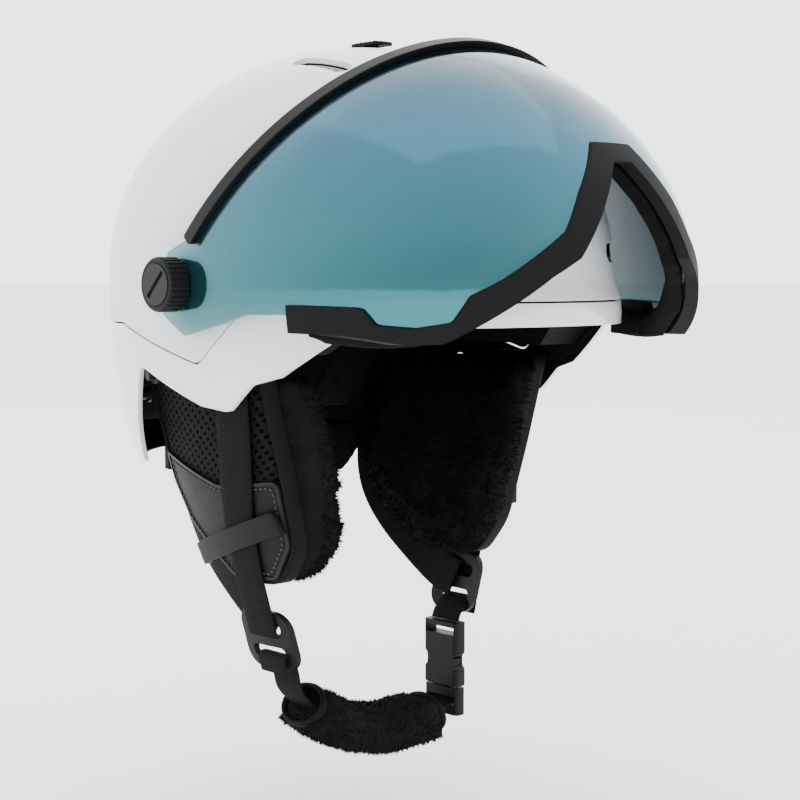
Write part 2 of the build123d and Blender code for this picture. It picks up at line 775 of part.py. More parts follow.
with BuildPart() as ear_pad_snaps:
    add(pad_anchors)
    add(shell_hollow, mode=Mode.INTERSECT)
ear_pad_snaps.part.label = "ear_pad_snaps"
export_step(ear_pad_snaps.part, "parts/ear_pad_snaps.step")

# ------------------------------------------------------------------ chin loop
front_plane = Plane.XZ.offset(-chin_y)


def chin_band(points, radius, line_width, depth):
    """Band across the chin: a front-view line given a thickness and a front-to-back depth."""
    with BuildPart() as band:
        with BuildSketch(front_plane):
            with BuildLine():
                FilletPolyline(*points, radius=radius)
            trace(line_width=line_width)
        extrude(amount=depth / 2, both=True)
    return band.part


divider_half = {}
for side, sign in SIDES:
    lean = ear_lean * (ear_top - divider_z[side])
    divider_half[side] = ear_top_half - lean - (strap_in + layer_gap) - divider_thick / 2
buckle_bottom = buckle_top - buckle_length
male_top = buckle_bottom - 1.2
male_slot_z = male_top - 7.0
right_line = ((-divider_half["right"] + 8.0, divider_z["right"] - 8), (-53.4, -186),
              (-45.5, -193.4))
chin_line = ((buckle_x + 3, male_slot_z), (buckle_x - 9, male_slot_z - 1.2), (34, -214.6),
             (6, -216), (-22, -209), (-43.6, -194.8))
pad_line = ((39, -213.6), (34, -214.6), (6, -216), (-22, -209), (-44, -194.5))

right_band = chin_band(right_line, 12, webbing_thick, webbing_width)
with BuildPart() as chin_strap_right:
    add(right_band)
chin_strap_right.part.label = "chin_strap_right"
export_step(chin_strap_right.part, "parts/chin_strap_right.step")

left_line = ((divider_half["left"] - 7.2, divider_z["left"] - 9),
             (buckle_x + 1.5, buckle_top + 6), (buckle_x, buckle_top + face_gap))
left_band = chin_band(left_line, 6, webbing_thick, webbing_width)
with BuildPart() as chin_strap_left:
    add(left_band)
chin_strap_left.part.label = "chin_strap_left"
export_step(chin_strap_left.part, "parts/chin_strap_left.step")

chin_web_band = chin_band(chin_line, 4, webbing_thick, webbing_width)
with BuildPart() as chin_webbing:
    add(chin_web_band)
chin_webbing.part.label = "chin_webbing"
export_step(chin_webbing.part, "parts/chin_webbing.step")

chin_tunnel = chin_band(chin_line, 4, webbing_thick + 2 * layer_gap,
                        webbing_width + 2 * layer_gap)
chin_sleeve = chin_band(pad_line, 12, pad_tube, pad_depth)
with BuildPart() as chin_pad:
    add(chin_sleeve)
    add(chin_tunnel, mode=Mode.SUBTRACT)
chin_pad.part.label = "chin_pad"
export_step(chin_pad.part, "parts/chin_pad.step")

# side-release buckle: the female half hangs from the left strap
buckle_plane = Plane.XY.offset(buckle_bottom)
channel_width = buckle_width - 2 * buckle_wall - 3
channel_thick = buckle_thick - 2 * buckle_wall
channel_depth = prong_length + 4.5
with BuildPart() as buckle_female:
    with BuildSketch(buckle_plane):
        with Locations((buckle_x, chin_y)):
            RectangleRounded(buckle_thick, buckle_width, 2.5)
    extrude(amount=buckle_length)
    with BuildSketch(buckle_plane):
        with Locations((buckle_x, chin_y)):
            Rectangle(channel_thick, channel_width)
    extrude(amount=channel_depth, mode=Mode.SUBTRACT)
    # the side windows that the prongs are pressed through
    with BuildSketch(Plane.YZ):
        window_z = buckle_bottom + channel_depth - 4 - buckle_window / 2
        with Locations((chin_y - buckle_width / 2, window_z), (chin_y + buckle_width / 2, window_z)):
            SlotOverall(buckle_window, 6.5, rotation=90)
    extrude(amount=200, mode=Mode.SUBTRACT)
    # the slot behind the top bar, for the webbing
    with BuildSketch(Plane.YZ):
        with Locations((chin_y, buckle_top - buckle_bar - 2)):
            Rectangle(webbing_width + 1, 4)
    extrude(amount=200, mode=Mode.SUBTRACT)
buckle_female.part.label = "buckle_female"
export_step(buckle_female.part, "parts/buckle_female.step")

male_thick = channel_thick - 2 * buckle_fit
with BuildPart() as buckle_male:
    with BuildSketch(Plane.XY.offset(male_top - 14.5)):
        with Locations((buckle_x, chin_y)):
            RectangleRounded(buckle_thick - 1, buckle_width, 2.5)
    extrude(amount=14.5)
    # the guide tongue between the prongs
    with BuildSketch(Plane.XY.offset(male_top)):
        with Locations((buckle_x, chin_y)):
            Rectangle(male_thick, 4)
    extrude(amount=prong_length - 2)
    with BuildSketch(Plane.YZ):
        with Locations((chin_y, male_slot_z)):
            Rectangle(webbing_width + 1, 4.4)
    extrude(amount=200, mode=Mode.SUBTRACT)
buckle_male.part.label = "buckle_male"
export_step(buckle_male.part, "parts/buckle_male.step")

prong_outer = channel_width / 2 - buckle_fit
prong_foot = male_top + face_gap
for place, way in (("front", -1), ("rear", 1)):
    with BuildPart() as buckle_prong:
        with BuildSketch(Plane.YZ.offset(buckle_x - male_thick / 2)):
            with BuildLine():
                FilletPolyline(
                    (chin_y + way * (prong_outer - prong_width), prong_foot),
                    (chin_y + way * prong_outer, prong_foot),
                    (chin_y + way * prong_outer, prong_foot + prong_length - 2),
                    (chin_y + way * (prong_outer - prong_head + 1), prong_foot + prong_length),
                    (chin_y + way * (prong_outer - prong_head), prong_foot + prong_length - 4),
                    (chin_y + way * (prong_outer - prong_width), prong_foot + prong_length - 8),
                    radius=0.5, close=True)
            make_face()
        extrude(amount=male_thick)
    buckle_prong.part.label = f"buckle_prong_{place}"
    export_step(buckle_prong.part, f"parts/buckle_prong_{place}.step")

# ------------------------------------------------------------------ rear fit adjuster
fit_back = fit_y + fit_wall + face_gap + fit_depth
gear_y = fit_y + fit_wall + face_gap + 0.8
pitch_radius = gear_module * gear_teeth / 2
with BuildPart() as fit_housing:
    with Locations((0, fit_y + fit_wall + face_gap, fit_z)):
        Box(2 * fit_half, fit_depth, fit_height, align=(Align.CENTER, Align.MIN, Align.CENTER))
        Box(2 * fit_half, fit_depth - 1.8, fit_height - 2 * fit_wall,
            align=(Align.CENTER, Align.MIN, Align.CENTER), mode=Mode.SUBTRACT)
    with BuildSketch(Plane.XZ.offset(-fit_y)):
        with Locations((0, fit_z)):
            Circle(shaft_d / 2 + shaft_clearance)
    extrude(amount=-20, mode=Mode.SUBTRACT)
fit_housing.part.label = "fit_housing"
export_step(fit_housing.part, "parts/fit_housing.step")

with BuildPart() as fit_cover:
    with BuildSketch(Plane.XZ.offset(-fit_y - fit_wall)):
        with Locations((0, fit_z)):
            RectangleRounded(2 * fit_half, fit_height, 4)
    extrude(amount=fit_wall)
    with BuildSketch(Plane.XZ.offset(-fit_y - fit_wall)):
        with Locations((-25, fit_z), (25, fit_z)):
            Circle(1.3)
    extrude(amount=fit_wall, mode=Mode.SUBTRACT)
fit_cover.part.label = "fit_cover"
export_step(fit_cover.part, "parts/fit_cover.step")

with BuildPart() as fit_screws:
    for x in (-25, 25):
        with BuildSketch(Plane.XZ.offset(-fit_y)):
            with Locations((x, fit_z)):
                Circle(2.4)
        extrude(amount=1.2)
        with BuildSketch(Plane.XZ.offset(-fit_y)):
            with Locations((x, fit_z)):
                Circle(1.25)
        extrude(amount=-(fit_wall + face_gap + fit_depth - 1.9))
fit_screws.part.label = "fit_screws"
export_step(fit_screws.part, "parts/fit_screws.step")

with BuildPart() as fit_dial:
    with BuildSketch(Plane.XZ.offset(-fit_back - face_gap)):
        with Locations((0, fit_z)):
            Circle(dial_d / 2)
    extrude(amount=-dial_thick)
    chamfer(fit_dial.edges().group_by(Axis.Y)[-1], 1.5)
    with BuildSketch(Plane.XZ.offset(-fit_back - face_gap)):
        with Locations((0, fit_z)):
            with PolarLocations(dial_d / 2 + 0.6, dial_flutes):
                Circle(1.6)
    extrude(amount=-dial_thick, mode=Mode.SUBTRACT)
    with BuildSketch(Plane.XZ.offset(-fit_back - face_gap)):
        with Locations((0, fit_z)):
            Circle(shaft_d / 2)
    extrude(amount=fit_back + face_gap - gear_y)
fit_dial.part.label = "fit_dial"
export_step(fit_dial.part, "parts/fit_dial.step")


def rack_tooth(pitch_z, up):
    """Corners of one rack tooth about x = 0, standing up or down from its pitch line."""
    slope = tan(radians(20))
    return [(-tooth_half - tooth_root * slope, pitch_z - up * tooth_root),
            (-tooth_half + tooth_rise * slope, pitch_z + up * tooth_rise),
            (tooth_half - tooth_rise * slope, pitch_z + up * tooth_rise),
            (tooth_half + tooth_root * slope, pitch_z - up * tooth_root)]


with BuildPart() as fit_pinion:
    with BuildSketch(Plane.XZ.offset(-gear_y)):
        with Locations((0, fit_z)):
            Circle(pitch_radius - tooth_root)
        with Locations((0, fit_z)):
            with PolarLocations(0, gear_teeth, start_angle=90):
                Polygon((pitch_radius - tooth_root - 0.4, -0.82), (pitch_radius, -tooth_half),
                        (pitch_radius + tooth_rise, -0.26), (pitch_radius + tooth_rise, 0.26),
                        (pitch_radius, tooth_half), (pitch_radius - tooth_root - 0.4, 0.82),
                        align=None)
            Circle(shaft_d / 2 + 0.02, mode=Mode.SUBTRACT)
    extrude(amount=-gear_width)
fit_pinion.part.label = "fit_pinion"
export_step(fit_pinion.part, "parts/fit_pinion.step")

gear_pitch = pi * gear_module
for side, sign in SIDES:
    # the left arm's rack runs over the pinion, the right arm's under it
    pitch_z = fit_z + sign * pitch_radius
    root_z = pitch_z + sign * tooth_root
    bar_z = (root_z + fit_z + sign * (fit_height / 2 - fit_wall - slide_clearance)) / 2
    bar_height = abs(fit_z + sign * (fit_height / 2 - fit_wall - slide_clearance) - root_z)
    with BuildPart() as fit_arm:
        with BuildSketch(Plane.XZ.offset(-gear_y)):
            with Locations((sign * (arm_reach - 14) / 2, bar_z)):
                Rectangle(arm_reach + 14, bar_height)
            for tooth in range(-3, 4):
                shift = (tooth + 0.5) * gear_pitch
                corners = [(x + shift, z) for x, z in rack_tooth(pitch_z, -sign)]
                Polygon(*corners, align=None)
        extrude(amount=-gear_width)
        # paddle that presses on the back of the head
        with Locations((sign * paddle_x, gear_y + gear_width / 2, fit_z + sign * paddle_rise)):
            Box(paddle_width, gear_width, paddle_height)
    fit_arm.part.label = f"fit_arm_{side}"
    export_step(fit_arm.part, f"parts/fit_arm_{side}.step")
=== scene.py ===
"""Ski helmet with a raised mirror visor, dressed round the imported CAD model."""
import bpy
import math
import random
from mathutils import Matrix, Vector


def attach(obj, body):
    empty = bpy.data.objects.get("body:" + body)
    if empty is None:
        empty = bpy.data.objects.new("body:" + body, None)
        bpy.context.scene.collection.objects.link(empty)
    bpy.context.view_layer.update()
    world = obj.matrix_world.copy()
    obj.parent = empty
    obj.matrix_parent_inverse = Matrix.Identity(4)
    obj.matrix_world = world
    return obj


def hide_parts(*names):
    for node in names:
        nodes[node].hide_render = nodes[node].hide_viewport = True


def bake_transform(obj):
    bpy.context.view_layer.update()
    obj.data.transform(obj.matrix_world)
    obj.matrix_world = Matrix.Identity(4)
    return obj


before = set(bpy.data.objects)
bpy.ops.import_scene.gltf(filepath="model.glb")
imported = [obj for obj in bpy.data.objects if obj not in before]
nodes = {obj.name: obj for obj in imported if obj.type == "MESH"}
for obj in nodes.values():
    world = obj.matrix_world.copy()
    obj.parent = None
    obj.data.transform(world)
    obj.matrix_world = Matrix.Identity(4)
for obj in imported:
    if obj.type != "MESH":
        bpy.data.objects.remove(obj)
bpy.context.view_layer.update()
SIDES = (("right", -1), ("left", 1))

# ---------------------------------------------------------------- camera and studio
# The camera stands at the wearer's front right, level with the brow.
# A pale floor lies under the helmet and four soft lamps stand round it.
camera_place = (-0.5636, -0.6380, 0.0211)
camera_turn = -43.0
camera_droop = 4.5
camera_data = bpy.data.cameras.new("camera")
camera_data.lens = 75
camera_data.sensor_width = 36
camera = bpy.data.objects.new("camera", camera_data)
camera.location = camera_place
camera.rotation_euler = (math.radians(90 - camera_droop), 0, math.radians(camera_turn))
bpy.context.collection.objects.link(camera)
bpy.context.scene.camera = camera

floor_z = -0.262
floor_radius = 30
bpy.ops.object.select_all(action="DESELECT")
bpy.ops.mesh.primitive_circle_add(vertices=64, radius=floor_radius, fill_type="NGON",
                                  location=(0, 0, floor_z))
floor = bpy.context.object
floor.name = "floor"
floor_paint = bpy.data.materials.new("floor_paint")
floor_paint.use_nodes = True
floor_look = floor_paint.node_tree.nodes["Principled BSDF"]
floor_look.inputs["Base Color"].default_value = (0.975, 0.978, 0.98, 1)
floor_look.inputs["Roughness"].default_value = 0.9
floor.data.materials.append(floor_paint)

world = bpy.data.worlds.new("studio")
world.use_nodes = True
sky = world.node_tree.nodes["Background"]
sky.inputs["Color"].default_value = (0.95, 0.965, 0.98, 1)
# the studio's far side is a bright white wall, and the side behind the camera is dimmer
far_side = (0.68, 0.73, 0.25)
near_light = 1.3
far_light = 3.4
studio_tree = world.node_tree
studio_place = studio_tree.nodes.new("ShaderNodeTexCoord")
studio_side = studio_tree.nodes.new("ShaderNodeVectorMath")
studio_side.operation = "DOT_PRODUCT"
studio_side.inputs[1].default_value = far_side
studio_tree.links.new(studio_place.outputs["Generated"], studio_side.inputs[0])
studio_span = studio_tree.nodes.new("ShaderNodeMapRange")
studio_span.inputs["From Min"].default_value = -0.9
studio_span.inputs["From Max"].default_value = 0.5
studio_span.inputs["To Min"].default_value = near_light
studio_span.inputs["To Max"].default_value = far_light
studio_tree.links.new(studio_side.outputs["Value"], studio_span.inputs["Value"])
studio_tree.links.new(studio_span.outputs["Result"], sky.inputs["Strength"])
bpy.context.scene.world = world

LAMPS = (("key", (-2.1, -0.9, 2.0), 2.6, 26), ("fill", (1.3, -2.2, 0.9), 2.2, 8),
         ("overhead", (0.1, 0.3, 2.4), 2.6, 14), ("back", (1.6, 1.9, 1.2), 2.0, 10))
for name, place, size, power in LAMPS:
    lamp_data = bpy.data.lights.new(name, "AREA")
    lamp_data.size = size
    lamp_data.energy = power
    lamp = bpy.data.objects.new(name, lamp_data)
    lamp.location = place
    lamp.rotation_euler = (-Vector(place)).to_track_quat("-Z", "Y").to_euler()
    lamp.visible_glossy = name in ("overhead", "back")
    bpy.context.collection.objects.link(lamp)

# ---------------------------------------------------------------- outer shells
# Two moulded shells: a satin white upper one and a glossier white lower one that wraps the nape.
# Both are injection moulded and painted, with a dark groove left between them.
def add_node(tree, kind, **values):
    """A shader node; values set its properties, or its inputs when it has no such property."""
    node = tree.nodes.new(kind)
    for key, value in values.items():
        if hasattr(node, key):
            setattr(node, key, value)
        else:
            node.inputs[key.replace("_", " ")].default_value = value
    return node


def new_group(name, inputs, outputs):
    """An empty shader group with float inputs, the named outputs and a place vector, and its end nodes."""
    group = bpy.data.node_groups.new(name, "ShaderNodeTree")
    for label, value in inputs:
        socket = group.interface.new_socket(label, in_out="INPUT", socket_type="NodeSocketFloat")
        socket.default_value = value
    for label in outputs:
        group.interface.new_socket(label, in_out="OUTPUT", socket_type="NodeSocketFloat")
    group.interface.new_socket("Place", in_out="INPUT", socket_type="NodeSocketVector")
    return group, group.nodes.new("NodeGroupInput"), group.nodes.new("NodeGroupOutput")


def finish(name, colour, rough, **sockets):
    """A new material of one base colour and roughness, and its tree and shader."""
    material = bpy.data.materials.new(name)
    material.use_nodes = True
    tree = material.node_tree
    shader = tree.nodes["Principled BSDF"]
    shader.inputs["Base Color"].default_value = (*colour, 1)
    shader.inputs["Roughness"].default_value = rough
    for key, value in sockets.items():
        shader.inputs[key.replace("_", " ")].default_value = value
    return material, tree, shader


def surface(material_parts, group, scale, depth, colour=None, rough=None, rounding=0.0):
    """Wires a surface group in: its height to a bump, its tone to colour and roughness."""
    material, tree, shader = material_parts
    place = add_node(tree, "ShaderNodeTexCoord")
    pattern = add_node(tree, "ShaderNodeGroup", node_tree=group)
    pattern.inputs["Scale"].default_value = scale
    tree.links.new(place.outputs["Object"], pattern.inputs["Place"])
    bump = add_node(tree, "ShaderNodeBump", Strength=1.0, Distance=depth)
    tree.links.new(pattern.outputs["Height"], bump.inputs["Height"])
    if rounding:
        edge = add_node(tree, "ShaderNodeBevel", samples=4, Radius=rounding)
        tree.links.new(edge.outputs["Normal"], bump.inputs["Normal"])
    tree.links.new(bump.outputs["Normal"], shader.inputs["Normal"])
    if colour:
        ramp = add_node(tree, "ShaderNodeValToRGB")
        ramp.color_ramp.elements[0].color = (*colour[0], 1)
        ramp.color_ramp.elements[1].color = (*colour[1], 1)
        tree.links.new(pattern.outputs["Tone"], ramp.inputs["Fac"])
        tree.links.new(ramp.outputs["Color"], shader.inputs["Base Color"])
    if rough:
        span = add_node(tree, "ShaderNodeMapRange", To_Min=rough[0], To_Max=rough[1])
        tree.links.new(pattern.outputs["Tone"], span.inputs["Value"])
        tree.links.new(span.outputs["Result"], shader.inputs["Roughness"])
    return material


def wear_finish(material, *names):
    """Puts a material on carried-over CAD nodes."""
    for name in names:
        for slot in nodes[name].material_slots:
            slot.link = "OBJECT"
            slot.material = material


# moulded grain: a fine even texture with slow patches of handling over it
grain, grain_in, grain_out = new_group("moulded_grain", [("Scale", 1500.0)], ("Height", "Tone"))
fine = add_node(grain, "ShaderNodeTexNoise", Detail=3.0, Roughness=0.6)
slow = add_node(grain, "ShaderNodeTexNoise", Scale=38.0, Detail=5.0, Roughness=0.62)
grain.links.new(grain_in.outputs["Place"], fine.inputs["Vector"])
grain.links.new(grain_in.outputs["Place"], slow.inputs["Vector"])
grain.links.new(grain_in.outputs["Scale"], fine.inputs["Scale"])
grain.links.new(fine.outputs["Fac"], grain_out.inputs["Height"])
grain.links.new(slow.outputs["Fac"], grain_out.inputs["Tone"])

satin_white = surface(finish("shell_satin_white", (0.8, 0.81, 0.83), 0.34,
                             Coat_Weight=0.25, Coat_Roughness=0.22),
                      
                      grain, 900, 0.00001, ((0.63, 0.645, 0.67), (0.70, 0.71, 0.73)), (0.28, 0.40), 0.0008)
gloss_white = surface(finish("shell_gloss_white", (0.84, 0.85, 0.86), 0.16,
                             Coat_Weight=0.6, Coat_Roughness=0.06),
                      
                      grain, 500, 0.000006, ((0.68, 0.69, 0.71), (0.75, 0.76, 0.775)), (0.13, 0.21), 0.0008)
# the shells are bare black inside, where their faces look towards the head
bare_black = (0.012, 0.012, 0.013, 1)
inward = -0.4
mix_paint, mix_bare, mix_result = 6, 7, 2       # the colour sockets of a mix node
for painted in (satin_white, gloss_white):
    shell_tree = painted.node_tree
    paint = shell_tree.nodes["Principled BSDF"].inputs["Base Color"].links[0].from_socket
    outward = add_node(shell_tree, "ShaderNodeVectorMath", operation="NORMALIZE")
    shell_place = add_node(shell_tree, "ShaderNodeTexCoord")
    shell_tree.links.new(shell_place.outputs["Object"], outward.inputs[0])
    facing = add_node(shell_tree, "ShaderNodeVectorMath", operation="DOT_PRODUCT")
    shell_face = add_node(shell_tree, "ShaderNodeNewGeometry")
    shell_tree.links.new(outward.outputs["Vector"], facing.inputs[0])
    shell_tree.links.new(shell_face.outputs["True Normal"], facing.inputs[1])
    inside = add_node(shell_tree, "ShaderNodeMath", operation="LESS_THAN")
    inside.inputs[1].default_value = inward
    shell_tree.links.new(facing.outputs["Value"], inside.inputs[0])
    two_sided = add_node(shell_tree, "ShaderNodeMix", data_type="RGBA")
    shell_tree.links.new(inside.outputs["Value"], two_sided.inputs["Factor"])
    shell_tree.links.new(paint, two_sided.inputs[mix_paint])
    two_sided.inputs[mix_bare].default_value = bare_black
    shell_shader = shell_tree.nodes["Principled BSDF"]
    shell_tree.links.new(two_sided.outputs[mix_result], shell_shader.inputs["Base Color"])
wear_finish(satin_white, "upper_shell")
wear_finish(gloss_white, "lower_shell")

# ---------------------------------------------------------------- shock liner
# A moulded bead-foam liner under the shells that takes the blow.
# Its fused beads show as small cells where the rim is bare.
beads, beads_in, beads_out = new_group("fused_beads", [("Scale", 360.0)], ("Height", "Tone"))
cells = add_node(beads, "ShaderNodeTexVoronoi", feature="DISTANCE_TO_EDGE")
cell_tone = add_node(beads, "ShaderNodeTexVoronoi", feature="SMOOTH_F1")
for cell_node in (cells, cell_tone):
    beads.links.new(beads_in.outputs["Place"], cell_node.inputs["Vector"])
    beads.links.new(beads_in.outputs["Scale"], cell_node.inputs["Scale"])
beads.links.new(cells.outputs["Distance"], beads_out.inputs["Height"])
beads.links.new(cell_tone.outputs["Distance"], beads_out.inputs["Tone"])
bead_foam = surface(finish("bead_foam", (0.0082, 0.0082, 0.0088), 0.75, Specular_IOR_Level=0.04),
                    beads, 340, 0.0006,
                    ((0.0045, 0.0045, 0.0049), (0.0102, 0.0102, 0.011)), (0.7, 0.85))
wear_finish(bead_foam, "eps_liner")

# ---------------------------------------------------------------- vents
# Black nylon grilles clip into the shell's vents, and a shutter plate slides under the crown.
# The wearer moves the shutter by the low slider on the crown.
vent_black = surface(finish("vent_black", (0.0057, 0.0057, 0.0062), 0.5, Specular_IOR_Level=0.08),
                     grain, 1400, 0.00004,
                     ((0.004, 0.004, 0.0043), (0.0071, 0.0071, 0.0077)), (0.42, 0.6), 0.0003)
wear_finish(vent_black, "front_vent_grilles", "rear_vent_grilles", "vent_shutter", "vent_knob")
vent_grey = surface(finish("vent_grey", (0.3, 0.3, 0.32), 0.5), grain, 1400, 0.00003,
                    ((0.26, 0.26, 0.28), (0.33, 0.33, 0.35)), (0.42, 0.6), 0.0003)
wear_finish(vent_grey, "roof_vent_grilles")

# ---------------------------------------------------------------- visor
# A moulded lens with a blue to teal mirror coat, clipped into a rubber face
# frame, with a thick rubber bead along its top edge and a foam pad behind the frame.
lens_low = -0.010
lens_high = 0.122
lens_front = -0.125
lens_temple = -0.03
LENS_TINTS = ((0.0, (0.028, 0.165, 0.18)), (0.35, (0.036, 0.165, 0.205)), (0.68, (0.03, 0.115, 0.175)),
              (1.0, (0.008, 0.03, 0.05)))
mirror, lens_tree, lens_shader = finish("mirror_lens", (0.05, 0.3, 0.55), 0.09, Metallic=0.85,
                                        Coat_Weight=0.3, Coat_Roughness=0.04)
lens_place = add_node(lens_tree, "ShaderNodeTexCoord")
lens_split = add_node(lens_tree, "ShaderNodeSeparateXYZ")
lens_tree.links.new(lens_place.outputs["Object"], lens_split.inputs["Vector"])
lens_span = add_node(lens_tree, "ShaderNodeMapRange", From_Min=lens_low, From_Max=lens_high)
lens_tree.links.new(lens_split.outputs["Z"], lens_span.inputs["Value"])
coat = add_node(lens_tree, "ShaderNodeValToRGB")
for end, (position, tint) in zip(coat.color_ramp.elements, (LENS_TINTS[0], LENS_TINTS[-1])):
    end.position = position
    end.color = (*tint, 1)
for position, tint in LENS_TINTS[1:-1]:
    coat.color_ramp.elements.new(position).color = (*tint, 1)
lens_tree.links.new(lens_span.outputs["Result"], coat.inputs["Fac"])
lens_tree.links.new(coat.outputs["Color"], lens_shader.inputs["Base Color"])
lens_haze = add_node(lens_tree, "ShaderNodeTexNoise", Scale=9.0, Detail=3.0)
lens_tree.links.new(lens_place.outputs["Object"], lens_haze.inputs["Vector"])
lens_rough = add_node(lens_tree, "ShaderNodeMapRange", To_Min=0.05, To_Max=0.13)
lens_tree.links.new(lens_haze.outputs["Fac"], lens_rough.inputs["Value"])
lens_tree.links.new(lens_rough.outputs["Result"], lens_shader.inputs["Roughness"])
# the coat thins towards the temples, where the shell shows through
lens_clear = add_node(lens_tree, "ShaderNodeMapRange", From_Min=lens_front, From_Max=lens_temple,
                      To_Min=0.9, To_Max=0.62)
lens_tree.links.new(lens_split.outputs["Y"], lens_clear.inputs["Value"])
lens_tree.links.new(lens_clear.outputs["Result"], lens_shader.inputs["Alpha"])
wear_finish(mirror, "visor_lens")

trim_rubber = surface(finish("trim_rubber", (0.005, 0.005, 0.0053), 0.4, Specular_IOR_Level=0.1),
                      grain, 1100, 0.00003,
                      ((0.0036, 0.0036, 0.004), (0.0075, 0.0075, 0.008)), (0.34, 0.5), 0.0012)
frame_rubber = surface(finish("frame_rubber", (0.0057, 0.0058, 0.0064), 0.62, Specular_IOR_Level=0.08),
                       grain, 1600, 0.00006,
                       ((0.0043, 0.0045, 0.0049), (0.0077, 0.0077, 0.0084)), (0.55, 0.72), 0.0008)
wear_finish(trim_rubber, "visor_top_trim")
wear_finish(frame_rubber, "visor_frame")


def select_only(obj):
    """Makes obj the only selected and the active object."""
    bpy.ops.object.select_all(action="DESELECT")
    obj.select_set(True)
    bpy.context.view_layer.objects.active = obj


def copy_of(node, name):
    """A new piece with its own merged copy of a CAD node's mesh."""
    piece = bpy.data.objects.new(name, nodes[node].data.copy())
    bpy.context.collection.objects.link(piece)
    piece.data.materials.clear()
    select_only(piece)
    bpy.ops.object.mode_set(mode="EDIT")
    bpy.ops.mesh.select_all(action="SELECT")
    bpy.ops.mesh.remove_doubles(threshold=0.00001)
    bpy.ops.object.mode_set(mode="OBJECT")
    return piece


def apply_modifier(piece, kind, **values):
    """Adds a modifier to a piece and applies it."""
    modifier = piece.modifiers.new(kind.lower(), kind)
    for key, value in values.items():
        setattr(modifier, key, value)
    select_only(piece)
    bpy.ops.object.modifier_apply(modifier=modifier.name)


cloth_frames = 20


def stuffed(node, name, voxel, shrink, pressure, cap, material, body, levels=1, easing=4):
    """A padded piece: the CAD solid remeshed, drawn in, blown up as cloth, capped and smoothed."""
    piece = copy_of(node, name)
    apply_modifier(piece, "REMESH", mode="VOXEL", voxel_size=voxel)
    apply_modifier(piece, "SMOOTH", factor=0.5, iterations=easing)
    mesh = piece.data
    normals = [vertex.normal.copy() for vertex in mesh.vertices]
    for vertex, normal in zip(mesh.vertices, normals):
        vertex.co -= normal * shrink
    start = [vertex.co.copy() for vertex in mesh.vertices]
    cloth = piece.modifiers.new("cloth", "CLOTH")
    cloth.settings.quality = 4
    cloth.settings.mass = 0.3
    cloth.settings.tension_stiffness = 20
    cloth.settings.compression_stiffness = 20
    cloth.settings.use_pressure = True
    cloth.settings.uniform_pressure_force = pressure
    cloth.settings.effector_weights.gravity = 0
    cloth.collision_settings.use_collision = False
    cloth.point_cache.frame_end = cloth_frames
    for moment in range(1, cloth_frames + 1):
        bpy.context.scene.frame_set(moment)
    blown = piece.evaluated_get(bpy.context.evaluated_depsgraph_get())
    ends = [vertex.co.copy() for vertex in blown.data.vertices]
    piece.modifiers.remove(cloth)
    bpy.context.scene.frame_set(1)
    for vertex, begin, end in zip(mesh.vertices, start, ends):
        move = end - begin
        if move.length > cap:
            move *= cap / move.length
        vertex.co = begin + move
    if levels:
        apply_modifier(piece, "SUBSURF", levels=levels, render_levels=levels)
    piece.data.materials.append(material)
    select_only(piece)
    bpy.ops.object.shade_smooth()
    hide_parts(node)
    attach(piece, body)
    return piece


# brushed knit: a soft nap over small stitches
knit, knit_in, knit_out = new_group("brushed_knit", [("Scale", 700.0)], ("Height", "Tone"))
stitch = add_node(knit, "ShaderNodeTexVoronoi", feature="F1")
nap = add_node(knit, "ShaderNodeTexNoise", Scale=2200.0, Detail=4.0)
cloud = add_node(knit, "ShaderNodeTexNoise", Scale=60.0, Detail=5.0)
knit.links.new(knit_in.outputs["Scale"], stitch.inputs["Scale"])
for part in (stitch, nap, cloud):
    knit.links.new(knit_in.outputs["Place"], part.inputs["Vector"])
both = add_node(knit, "ShaderNodeMath", operation="ADD")
knit.links.new(stitch.outputs["Distance"], both.inputs[0])
knit.links.new(nap.outputs["Fac"], both.inputs[1])
knit.links.new(both.outputs["Value"], knit_out.inputs["Height"])
knit.links.new(cloud.outputs["Fac"], knit_out.inputs["Tone"])
fleece = surface(finish("face_fleece", (0.0071, 0.0071, 0.0076), 0.95, Specular_IOR_Level=0.04),
                 knit, 1100, 0.0002, ((0.0038, 0.0038, 0.0041), (0.0081, 0.0081, 0.0085)), (0.88, 1.0))
stuffed("visor_foam", "visor_foam_pad", 0.003, 0.0007, 3.0, 0.0009, fleece, "visor")

# ---------------------------------------------------------------- visor pivots
# On each side a boss on the shell carries a sleeve, and a knurled knob clamps the visor to it.
# A flat disc with a coin slot closes the knob. All are glass-filled nylon.
nylon = surface(finish("dark_nylon", (0.006, 0.0062, 0.0068), 0.45, Specular_IOR_Level=0.1),
                grain, 1500, 0.00004,
                ((0.0043, 0.0044, 0.0048), (0.0091, 0.0095, 0.0103)), (0.38, 0.54), 0.0004)
disc_nylon = surface(finish("disc_nylon", (0.0132, 0.0135, 0.0144), 0.36, Specular_IOR_Level=0.14),
                     grain, 1800, 0.00002,
                     ((0.0103, 0.0106, 0.0113), (0.0147, 0.0151, 0.0162)), (0.3, 0.44), 0.0004)
for side, _ in SIDES:
    wear_finish(nylon, f"pivot_base_{side}", f"pivot_nut_{side}", f"knob_{side}")
    wear_finish(disc_nylon, f"knob_cap_{side}")

